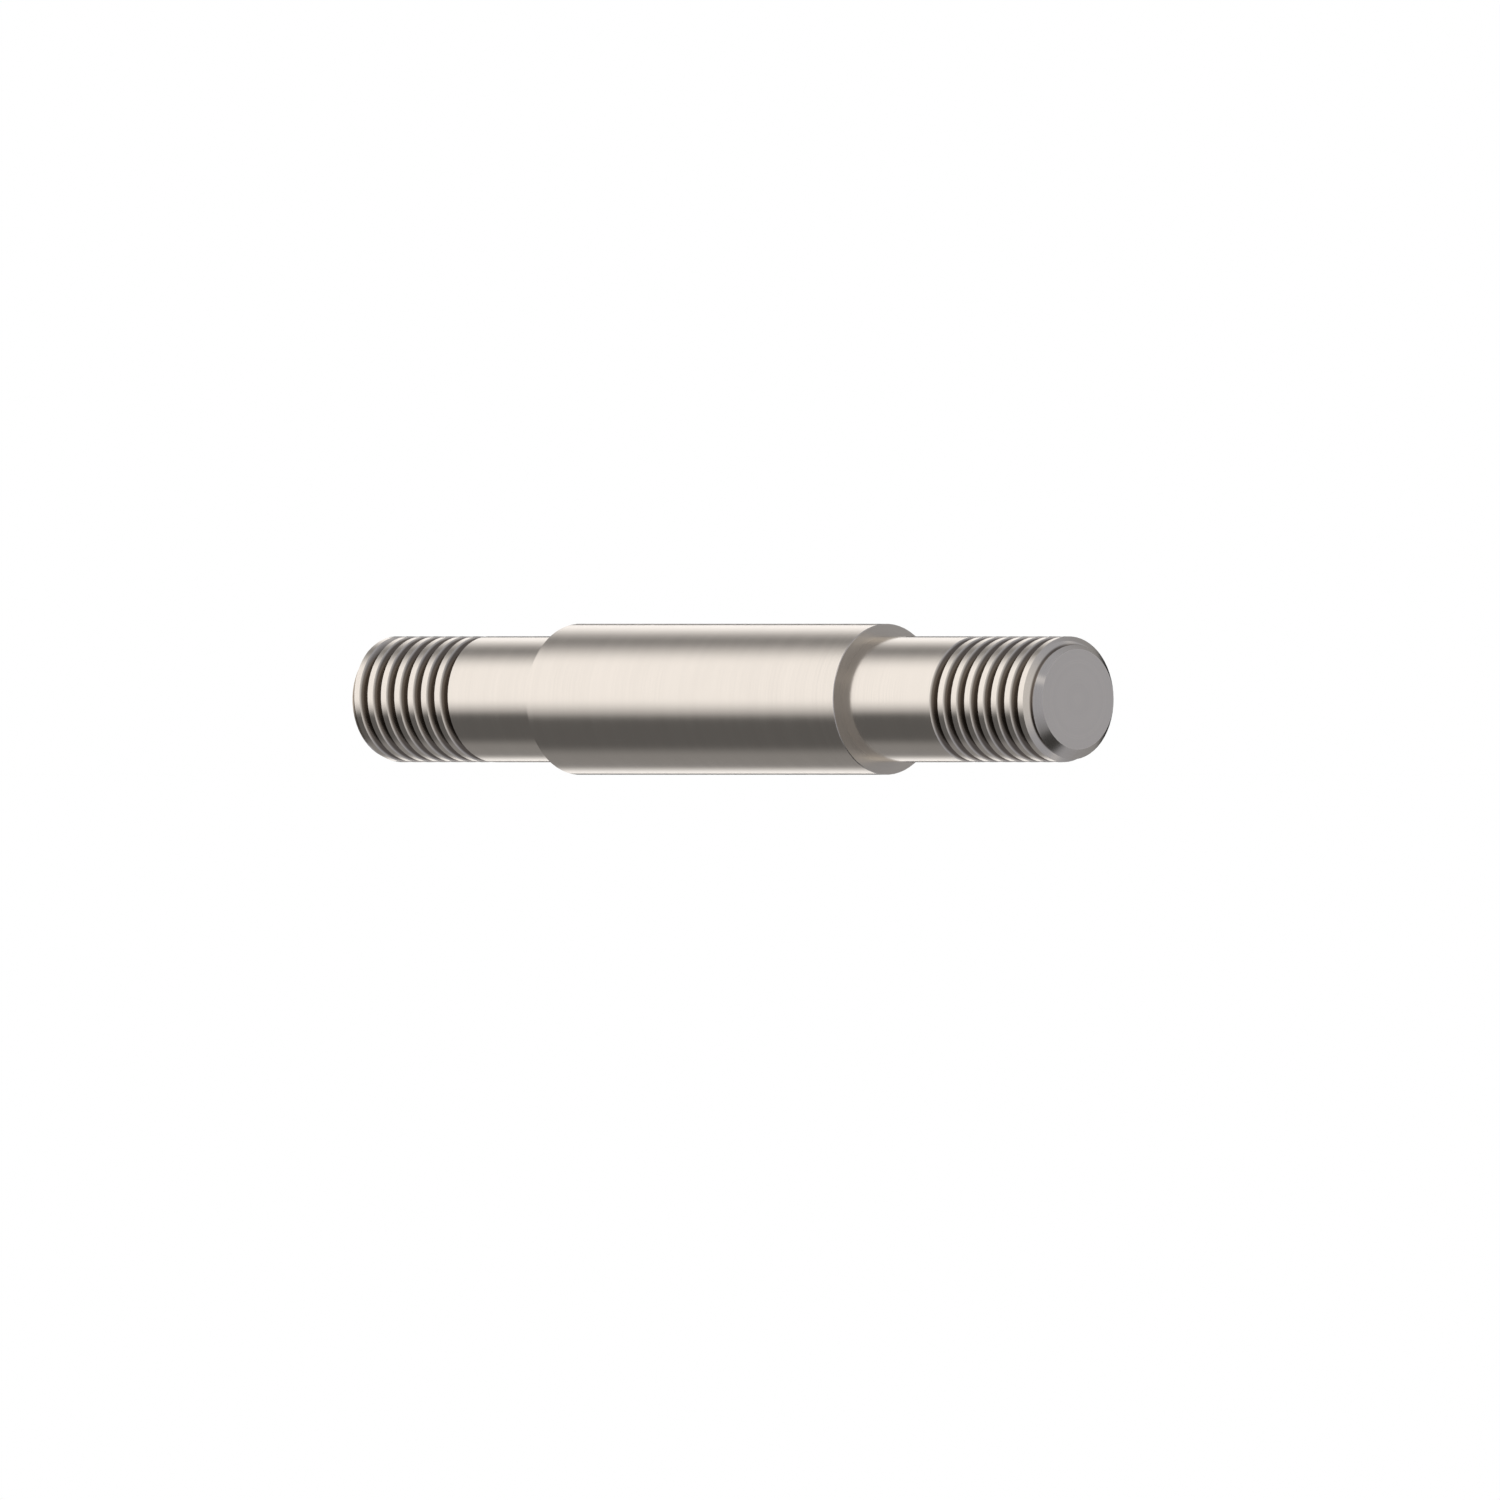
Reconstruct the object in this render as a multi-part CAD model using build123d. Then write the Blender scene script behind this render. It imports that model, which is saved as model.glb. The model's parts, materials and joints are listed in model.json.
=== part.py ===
from build123d import *

import math
import os

# Double-ended threaded shoulder stud, turned from one bar of steel. Millimetres.
# The axis is X and the origin is the middle of the body, so the stud is symmetric end to end:
# the +X thread is left-hand and the -X thread is its mirror image, right-hand.

# Driving dimensions
body_diameter = 12.0
body_length = 34.5
shank_diameter = 10.0
end_length = 21.5           # each end, from the shoulder to the tip
tip_chamfer = 1.0           # 45 degrees
edge_break = 0.05           # on the body's two outer edges
thread_pitch = 1.5
thread_length = 11.7        # full-depth thread, from the tip
groove_width = 0.93         # groove opening at the crests, along the axis
flank_angle = 60.0          # between the two flanks of the groove
groove_root_radius = 0.12
runout_turns = 0.4          # over which the groove rises out of the shank
runout_clearance = 0.08     # how far above the shank the groove's root ends
runout_start_angle = 20.0   # degrees past the lowest line of the shank, towards +Y
cutter_margin = 0.1         # how far the groove cutter stands out of the shank
spare_length = 3.0          # bar left on each end until the threads are cut
envelope_margin = 1.0       # how far the facing envelope stands off the body

# Worked out from them
body_radius = body_diameter / 2
shank_radius = shank_diameter / 2
shoulder_x = body_length / 2
tip_x = shoulder_x + end_length
half_flank = math.radians(flank_angle / 2)
root_centre_depth = groove_width / 2 / math.tan(half_flank) - groove_root_radius / math.sin(half_flank)
groove_depth = root_centre_depth + groove_root_radius


def turned_bar():
    """The stepped bar, over length at both ends: a half section turned about the axis."""
    with BuildPart() as bar:
        with BuildSketch():
            with BuildLine():
                Polyline(
                    (0, 0),
                    (0, body_radius),
                    (shoulder_x - edge_break, body_radius),
                    (shoulder_x, body_radius - edge_break),
                    (shoulder_x, shank_radius),
                    (tip_x + spare_length, shank_radius),
                    (tip_x + spare_length, 0),
                    close=True,
                )
            make_face()
            mirror(about=Plane.YZ)
        revolve(axis=Axis.X)
    return bar.part


def groove_section():
    """Section of one thread groove on the start of the helix: two flanks and a rounded root."""
    root_centre = shank_radius - root_centre_depth
    tangent_radius = root_centre - groove_root_radius * math.sin(half_flank)
    tangent_height = groove_root_radius * math.cos(half_flank)
    outer_radius = shank_radius + cutter_margin
    outer_height = groove_width / 2 + cutter_margin * math.tan(half_flank)
    with BuildSketch(Plane.XZ) as section:
        with BuildLine():
            Polyline(
                (tangent_radius, tangent_height),
                (outer_radius, outer_height),
                (outer_radius, -outer_height),
                (tangent_radius, -tangent_height),
            )
            ThreePointArc(
                (tangent_radius, -tangent_height),
                (root_centre - groove_root_radius, 0),
                (tangent_radius, tangent_height),
            )
        make_face()
    return section.sketch


def full_groove():
    """The left-hand groove about +Z, from its start at Z = 0 to half a turn past the tip."""
    path = Helix(thread_pitch, thread_length + thread_pitch / 2, shank_radius, lefthand=True)
    return sweep(groove_section(), path=path, is_frenet=True)


def groove_runout():
    """The same groove carried on below Z = 0 on a widening cone, until it leaves the shank."""
    drop = runout_turns * thread_pitch
    lift = groove_depth + runout_clearance
    slant_pitch = math.hypot(drop, lift) / runout_turns
    cone_angle = math.degrees(math.atan2(lift, drop))
    path = Helix(
        slant_pitch, drop, shank_radius, direction=(0, 0, -1), cone_angle=cone_angle, lefthand=True
    )
    return sweep(groove_section(), path=Rot(0, 0, 180) * path, is_frenet=True)


def facing_envelope():
    """Everything that is left once both ends are faced to length and chamfered."""
    envelope_radius = body_radius + envelope_margin
    envelope = Rot(0, 90, 0) * Cylinder(envelope_radius, 2 * tip_x)
    rims = envelope.edges().filter_by(GeomType.CIRCLE)
    return chamfer(rims, envelope_radius - shank_radius + tip_chamfer)


def threaded_stud():
    """The finished stud, with a left-hand thread at +X and a right-hand one at -X."""
    onto_axis = Pos(tip_x - thread_length, 0, 0) * Rot(runout_start_angle, 0, 0) * Rot(0, 90, 0)
    stud = turned_bar()
    for cutter in (full_groove(), groove_runout()):
        placed = onto_axis * cutter
        stud = stud - placed
        stud = stud - mirror(placed, about=Plane.YZ)
    return stud & facing_envelope()


os.makedirs("parts", exist_ok=True)
export_step(threaded_stud(), "parts/threaded_stud.step")
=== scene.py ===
import json
import math
from collections import namedtuple

import bpy
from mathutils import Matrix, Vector


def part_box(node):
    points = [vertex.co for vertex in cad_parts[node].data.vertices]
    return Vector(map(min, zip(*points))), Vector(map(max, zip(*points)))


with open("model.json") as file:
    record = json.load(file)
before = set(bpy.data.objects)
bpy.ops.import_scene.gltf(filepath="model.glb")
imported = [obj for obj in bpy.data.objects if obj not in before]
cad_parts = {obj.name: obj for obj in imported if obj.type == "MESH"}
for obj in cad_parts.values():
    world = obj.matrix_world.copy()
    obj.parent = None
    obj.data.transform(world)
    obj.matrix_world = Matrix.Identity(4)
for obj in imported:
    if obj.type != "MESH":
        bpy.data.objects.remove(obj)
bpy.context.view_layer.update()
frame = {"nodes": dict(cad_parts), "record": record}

# The frame's own sizes, in metres
MM = 0.001
RECORD_MOUNTS = {mount["name"]: mount for mount in frame["record"]["mounts"]}
LOW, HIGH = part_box("threaded_stud")
CENTRE = (LOW + HIGH) / 2
TIP_X = HIGH.x
SHOULDER_X = RECORD_MOUNTS["right_shoulder"]["pos_m"][0]
BODY_RADIUS = RECORD_MOUNTS["body_journal"]["dims"]["r_mm"] * MM
SHANK_RADIUS = RECORD_MOUNTS["right_thread"]["dims"]["r_mm"] * MM
CHAMFER = 1.0 * MM

# Camera
AZIMUTH = math.radians(45)
CAMERA_DISTANCE = 3.0       # metres
FRAME_WIDTH = 119.14 * MM
AIM_RIGHT = 1.35 * MM       # how far the middle of the view is from the middle of the stud
AIM_DOWN = 4.03 * MM

# Floor and the light on it
FLOOR_HALF = 8.0            # metres, half of each side
FLOOR_COLOUR = (0.9, 0.9, 0.89, 1)
FLOOR_ROUGHNESS = 0.8
KEY_ENERGY = 2.7
KEY_SPREAD = math.radians(35)
KEY_TILT = (math.radians(25), math.radians(-15), 0)

# Steel
STEEL_COLOUR = (0.72, 0.68, 0.63)
# painted shade: the colour the thread grooves are darkened to
GROOVE_SHADE_COLOUR = (0.184, 0.158, 0.135)
SHOULDER_SHADE = (0.84, 0.82, 0.78)      # painted shade: the shoulder faces beside the shanks are darkened
FINE_RING_SCALE = 9000
BROAD_RING_SCALE = 700
SMUDGE_SCALE = 160
RING_SPEED_ON_FACE = 1.7                # the rings pass this much faster across a face than along x
FACE_TOLERANCE = 0.005 * MM
# Two distances each: where it starts to show, and where it is full
WORN_BY_RIM = (0.12 * MM, 0.02 * MM)
# painted shade in the grooves, set by depth under the crests, by place along the stud and by radius
GROOVE_SHADE_BY_DEPTH = (0.02 * MM, 0.20 * MM)
GROOVE_SHADE_BY_PLACE = (TIP_X - 1.4 * MM, TIP_X - 1.9 * MM)
GROOVE_SHADE_BY_RADIUS = (SHANK_RADIUS - 0.42 * MM, SHANK_RADIUS - 0.58 * MM)
# Two noise levels, then what each of them gives
BROAD_RING_SHADE = (0.3, 0.7, 0.99, 1.01)
SMUDGE_SHADE = (0.35, 0.75, 1.005, 0.985)
BROAD_RING_ROUGHNESS = (0.3, 0.7, 0.165, 0.185)
SMUDGE_ROUGHNESS = (0.45, 0.75, 0.0, 0.02)
FINE_RING_CONTRAST = 0.10
WORN_SHADE = 0.03
FACE_ROUGHNESS = 0.14                   # more than the cylinders
GROOVE_ROUGHNESS = 0.03                 # more than the crests
BROAD_RING_HEIGHT = 2.0                 # the fine rings are 1 high
BUMP_STRENGTH = 0.5
BUMP_DISTANCE = 0.0004 * MM

# The studio in the steel's reflections: a plain room with soft lights and dark cards parallel to the
# stud. A strip's four angles are degrees about the stud's axis (0 is -Y, 90 is up): where it fades in,
# is full from, is full to and is gone. Level is how bright polished steel looks under it, and it hangs
# between left and right, each the X part of a direction, or past -1 or 1 where it has no end.
Strip = namedtuple("Strip", "fades_in full_from full_to gone level left right")
ROOM_LEFT = 0.50
ROOM_RIGHT = 0.59
ROOM_FADE = 0.6             # the room goes from its left level to its right one over this far each way
FRONT_LIGHT = Strip(-33, 2, 55, 100, level=0.94, left=-2.0, right=0.35)
LOW_CARD = Strip(-97, -74, -35, -20, level=0.34, left=-2.0, right=0.60)
REAR_LIGHT = Strip(100, 146, 156, 163, level=0.95, left=-2.0, right=-0.50)
REAR_LOW_LIGHT = Strip(-163, -157, -153, -122, level=0.95, left=-2.0, right=-0.50)
# These are towards the right-hand end: a wide light, a small one and a dark card under them
END_LIGHT = Strip(-130, -110, 110, 130, level=0.76, left=0.88, right=2.0)
SMALL_LIGHT = Strip(28, 37, 42, 52, level=1.0, left=0.56, right=0.64)
END_CARD = Strip(-120, -100, -78, -64, level=0.20, left=0.25, right=0.60)
# These are there twice, above and below the axis
BACK_LIGHTS = Strip(124, 138, 148, 162, level=0.85, left=0.45, right=2.0)
REAR_CARD = Strip(157, 163, 180, 200, level=0.05, left=-2.0, right=-0.45)
STRIP_END_EDGE = 0.10       # a strip's ends fade over this far each way
WARM_TINT = (1.0, 0.915, 0.83)
COOL_TINT = (1.0, 0.96, 0.97)


def srgb(level):
    """A display brightness from 0 to 1 as a linear one."""
    return level / 12.92 if level <= 0.04045 else ((level + 0.055) / 1.055) ** 2.4


# ---------------------------------------------------------------- node helpers

def new_tree(owner):
    owner.use_nodes = True
    owner.node_tree.nodes.clear()
    return owner.node_tree


def add(tree, kind, **settings):
    node = tree.nodes.new(kind)
    for name, value in settings.items():
        setattr(node, name, value)
    return node


def connect(tree, value, socket):
    """Links an output to a socket, or sets the socket if the value is a plain one."""
    if isinstance(value, bpy.types.NodeSocket):
        tree.links.new(value, socket)
    else:
        socket.default_value = value


def math_node(tree, operation, *values):
    node = add(tree, "ShaderNodeMath", operation=operation)
    for socket, value in zip(node.inputs, values):
        connect(tree, value, socket)
    return node.outputs[0]


def fade(tree, value, start, end, low=0.0, high=1.0):
    """Smoothly from low at start to high at end."""
    node = add(tree, "ShaderNodeMapRange", interpolation_type="SMOOTHSTEP")
    for name, setting in zip(("Value", "From Min", "From Max", "To Min", "To Max"),
                             (value, start, end, low, high)):
        connect(tree, setting, node.inputs[name])
    return node.outputs[0]


def mix_colour(tree, factor, first, second, blend="MIX"):
    node = add(tree, "ShaderNodeMix", data_type="RGBA", blend_type=blend)
    connect(tree, factor, node.inputs["Factor"])
    sockets = [socket for socket in node.inputs if socket.type == "RGBA"]
    connect(tree, first, sockets[0])
    connect(tree, second, sockets[1])
    return next(socket for socket in node.outputs if socket.type == "RGBA")


def noise(tree, vector, scale, detail, roughness):
    node = add(tree, "ShaderNodeTexNoise")
    tree.links.new(vector, node.inputs["Vector"])
    node.inputs["Scale"].default_value = scale
    node.inputs["Detail"].default_value = detail
    node.inputs["Roughness"].default_value = roughness
    return node.outputs["Fac"]


def line_noise(tree, position, scale, detail):
    """Noise that changes along one number only, such as the rings a lathe leaves."""
    node = add(tree, "ShaderNodeTexNoise", noise_dimensions="1D")
    tree.links.new(position, node.inputs["W"])
    node.inputs["Scale"].default_value = scale
    node.inputs["Detail"].default_value = detail
    return node.outputs["Fac"]


# ---------------------------------------------------------------- studio

def light_colour(level, tint):
    """The light that makes the steel look as bright as level, before the steel's own colour."""
    return [srgb(level) * shade / steel for shade, steel in zip(tint, STEEL_COLOUR)]


def hang(tree, colour, strip, degrees, along):
    """Lays one light or card over the room."""
    share = fade(tree, degrees, strip.fades_in, strip.full_from)
    share = math_node(tree, "MULTIPLY", share, fade(tree, degrees, strip.gone, strip.full_to))
    for end, side in ((strip.left, 1), (strip.right, -1)):
        inside = fade(tree, along, end - side * STRIP_END_EDGE, end + side * STRIP_END_EDGE)
        share = math_node(tree, "MULTIPLY", share, inside)
    return mix_colour(tree, share, colour, (*light_colour(strip.level, WARM_TINT), 1))


def studio_world(scene):
    """The room with its lights and cards in reflections, and a plain white ground behind the stud."""
    world = bpy.data.worlds.new("studio")
    scene.world = world
    tree = new_tree(world)
    coords = add(tree, "ShaderNodeTexCoord")
    split = add(tree, "ShaderNodeSeparateXYZ")
    tree.links.new(coords.outputs["Generated"], split.inputs[0])
    along = split.outputs["X"]
    toward = math_node(tree, "MULTIPLY", split.outputs["Y"], -1.0)
    angle = math_node(tree, "ARCTAN2", split.outputs["Z"], toward)
    degrees = math_node(tree, "DEGREES", angle)
    either_side = math_node(tree, "ABSOLUTE", degrees)
    left = (*light_colour(ROOM_LEFT, WARM_TINT), 1)
    right = (*light_colour(ROOM_RIGHT, COOL_TINT), 1)
    colour = mix_colour(tree, fade(tree, along, -ROOM_FADE, ROOM_FADE), left, right)
    for strip in (FRONT_LIGHT, LOW_CARD, REAR_LIGHT, REAR_LOW_LIGHT, END_LIGHT, SMALL_LIGHT, END_CARD):
        colour = hang(tree, colour, strip, degrees, along)
    for strip in (BACK_LIGHTS, REAR_CARD):
        colour = hang(tree, colour, strip, either_side, along)
    reflected = add(tree, "ShaderNodeBackground")
    tree.links.new(colour, reflected.inputs["Color"])
    ground = add(tree, "ShaderNodeBackground")
    ground.inputs["Color"].default_value = (1, 1, 1, 1)
    path = add(tree, "ShaderNodeLightPath")
    mix = add(tree, "ShaderNodeMixShader")
    tree.links.new(path.outputs["Is Camera Ray"], mix.inputs[0])
    tree.links.new(reflected.outputs[0], mix.inputs[1])
    tree.links.new(ground.outputs[0], mix.inputs[2])
    output = add(tree, "ShaderNodeOutputWorld")
    tree.links.new(mix.outputs[0], output.inputs["Surface"])


def floor(scene, height):
    """A pale floor that the steel doesn't mirror."""
    half = FLOOR_HALF
    corners = [(-half, -half, 0), (half, -half, 0), (half, half, 0), (-half, half, 0)]
    mesh = bpy.data.meshes.new("floor")
    mesh.from_pydata(corners, [], [(0, 1, 2, 3)])
    plane = bpy.data.objects.new("floor", mesh)
    plane.location.z = height
    scene.collection.objects.link(plane)
    material = bpy.data.materials.new("floor_paint")
    tree = new_tree(material)
    shader = add(tree, "ShaderNodeBsdfPrincipled")
    shader.inputs["Base Color"].default_value = FLOOR_COLOUR
    shader.inputs["Roughness"].default_value = FLOOR_ROUGHNESS
    output = add(tree, "ShaderNodeOutputMaterial")
    tree.links.new(shader.outputs[0], output.inputs[0])
    mesh.materials.append(material)
    plane.visible_glossy = False


def key_light(scene):
    """A wide soft light from above for the floor; the steel doesn't mirror it."""
    data = bpy.data.lights.new("key", "SUN")
    data.energy = KEY_ENERGY
    data.angle = KEY_SPREAD
    lamp = bpy.data.objects.new("key", data)
    lamp.rotation_euler = KEY_TILT
    lamp.visible_glossy = False
    scene.collection.objects.link(lamp)


def camera(scene, centre):
    """Level with the stud and 45 degrees round from its side, without perspective."""
    data = bpy.data.cameras.new("camera")
    data.type = "ORTHO"
    data.ortho_scale = FRAME_WIDTH
    obj = bpy.data.objects.new("camera", data)
    scene.collection.objects.link(obj)
    away = CAMERA_DISTANCE * Vector((math.sin(AZIMUTH), -math.cos(AZIMUTH), 0))
    right = Vector((math.cos(AZIMUTH), math.sin(AZIMUTH), 0))
    obj.location = centre + away + right * AIM_RIGHT - Vector((0, 0, AIM_DOWN))
    obj.rotation_euler = (math.radians(90), 0, AZIMUTH)
    scene.camera = obj


# ---------------------------------------------------------------- steel

def rim_distance(tree, profile):
    """How far a point of the half section is from the nearest turned edge."""
    edges = (
        (SHOULDER_X, BODY_RADIUS),
        (TIP_X - CHAMFER, SHANK_RADIUS),
        (TIP_X, SHANK_RADIUS - CHAMFER),
    )
    nearest = None
    for edge in edges:
        node = add(tree, "ShaderNodeVectorMath", operation="DISTANCE")
        tree.links.new(profile, node.inputs[0])
        node.inputs[1].default_value = (*edge, 0)
        distance = node.outputs["Value"]
        nearest = distance if nearest is None else math_node(tree, "MINIMUM", nearest, distance)
    return nearest


def groove_depth(tree, along, radius):
    """How far a point is under the thread's crests or the chamfer, in metres; 0 on the end face."""
    chamfer_radius = math_node(tree, "SUBTRACT", TIP_X + SHANK_RADIUS - CHAMFER, along)
    envelope = math_node(tree, "MINIMUM", chamfer_radius, SHANK_RADIUS)
    depth = math_node(tree, "SUBTRACT", envelope, radius)
    off_face = math_node(tree, "LESS_THAN", along, TIP_X - 2 * FACE_TOLERANCE)
    return math_node(tree, "MULTIPLY", depth, off_face)


def on_face(tree, along, distance):
    """1 on the faces across the stud that are this far from its middle."""
    return math_node(tree, "COMPARE", along, distance, FACE_TOLERANCE)


def turned_steel():
    """Bright turned steel: rings from the tool, faint smudges, worn edges, and painted shade on the
    shoulder faces and in the grooves.
    """
    material = bpy.data.materials.new("turned_steel")
    tree = new_tree(material)
    coords = add(tree, "ShaderNodeTexCoord").outputs["Object"]
    split = add(tree, "ShaderNodeSeparateXYZ")
    tree.links.new(coords, split.inputs[0])
    along = math_node(tree, "ABSOLUTE", split.outputs["X"])
    square = math_node(tree, "MULTIPLY", split.outputs["Y"], split.outputs["Y"])
    radius_square = math_node(tree, "MULTIPLY_ADD", split.outputs["Z"], split.outputs["Z"], square)
    radius = math_node(tree, "SQRT", radius_square)
    profile = add(tree, "ShaderNodeCombineXYZ")
    tree.links.new(along, profile.inputs["X"])
    tree.links.new(radius, profile.inputs["Y"])

    # the tool's rings run round the stud: across them the surface changes along x and with the radius
    travel = math_node(tree, "MULTIPLY_ADD", radius, RING_SPEED_ON_FACE, split.outputs["X"])
    fine_rings = line_noise(tree, travel, FINE_RING_SCALE, detail=2)
    broad_rings = line_noise(tree, travel, BROAD_RING_SCALE, detail=3)
    smudges = noise(tree, coords, SMUDGE_SCALE, detail=4, roughness=0.6)
    worn = fade(tree, rim_distance(tree, profile.outputs[0]), *WORN_BY_RIM)
    # painted shade: the grooves darken with depth under the crests
    groove_shade_mask = fade(tree, groove_depth(tree, along, radius), *GROOVE_SHADE_BY_DEPTH)
    # the last flank is open towards the tip with no next wall to shade it, so its painted shade is kept to
    # its root
    shut_in = fade(tree, along, *GROOVE_SHADE_BY_PLACE)
    root = fade(tree, radius, *GROOVE_SHADE_BY_RADIUS)
    groove_shade_mask = math_node(tree, "MULTIPLY", groove_shade_mask, math_node(tree, "MAXIMUM", shut_in, root))
    # shoulders and tips were faced across instead of turned along
    shoulder = on_face(tree, along, SHOULDER_X)
    faced = math_node(tree, "MAXIMUM", shoulder, on_face(tree, along, TIP_X))

    shade = math_node(tree, "MULTIPLY_ADD", fine_rings, FINE_RING_CONTRAST, 1 - FINE_RING_CONTRAST / 2)
    shade = math_node(tree, "MULTIPLY", shade, fade(tree, broad_rings, *BROAD_RING_SHADE))
    shade = math_node(tree, "MULTIPLY", shade, fade(tree, smudges, *SMUDGE_SHADE))
    shade = math_node(tree, "MULTIPLY_ADD", worn, WORN_SHADE, shade)
    tone = add(tree, "ShaderNodeCombineColor")
    for socket in tone.inputs:
        tree.links.new(shade, socket)
    steel = mix_colour(tree, 1.0, (*STEEL_COLOUR, 1), tone.outputs[0], "MULTIPLY")
    # painted shade: the shoulder faces are darkened
    steel = mix_colour(tree, shoulder, steel, (*SHOULDER_SHADE, 1), "MULTIPLY")
    # painted shade: the grooves are darkened towards their roots
    colour = mix_colour(tree, groove_shade_mask, steel, (*GROOVE_SHADE_COLOUR, 1))

    rough = fade(tree, broad_rings, *BROAD_RING_ROUGHNESS)
    rough = math_node(tree, "MULTIPLY_ADD", faced, FACE_ROUGHNESS, rough)
    rough = math_node(tree, "ADD", rough, fade(tree, smudges, *SMUDGE_ROUGHNESS))
    rough = math_node(tree, "MULTIPLY_ADD", groove_shade_mask, GROOVE_ROUGHNESS, rough)

    height = math_node(tree, "MULTIPLY_ADD", broad_rings, BROAD_RING_HEIGHT, fine_rings)
    bump = add(tree, "ShaderNodeBump")
    bump.inputs["Strength"].default_value = BUMP_STRENGTH
    bump.inputs["Distance"].default_value = BUMP_DISTANCE
    tree.links.new(height, bump.inputs["Height"])

    shader = add(tree, "ShaderNodeBsdfPrincipled")
    shader.inputs["Metallic"].default_value = 1.0
    tree.links.new(colour, shader.inputs["Base Color"])
    tree.links.new(rough, shader.inputs["Roughness"])
    tree.links.new(bump.outputs[0], shader.inputs["Normal"])
    output = add(tree, "ShaderNodeOutputMaterial")
    tree.links.new(shader.outputs[0], output.inputs[0])
    return material


# ---------------------------------------------------------------- scene

scene = bpy.context.scene
scene.view_settings.view_transform = "Standard"
stud = frame["nodes"]["threaded_stud"]
stud.data.materials.clear()
stud.data.materials.append(turned_steel())
studio_world(scene)
floor(scene, LOW.z)
key_light(scene)
camera(scene, CENTRE)
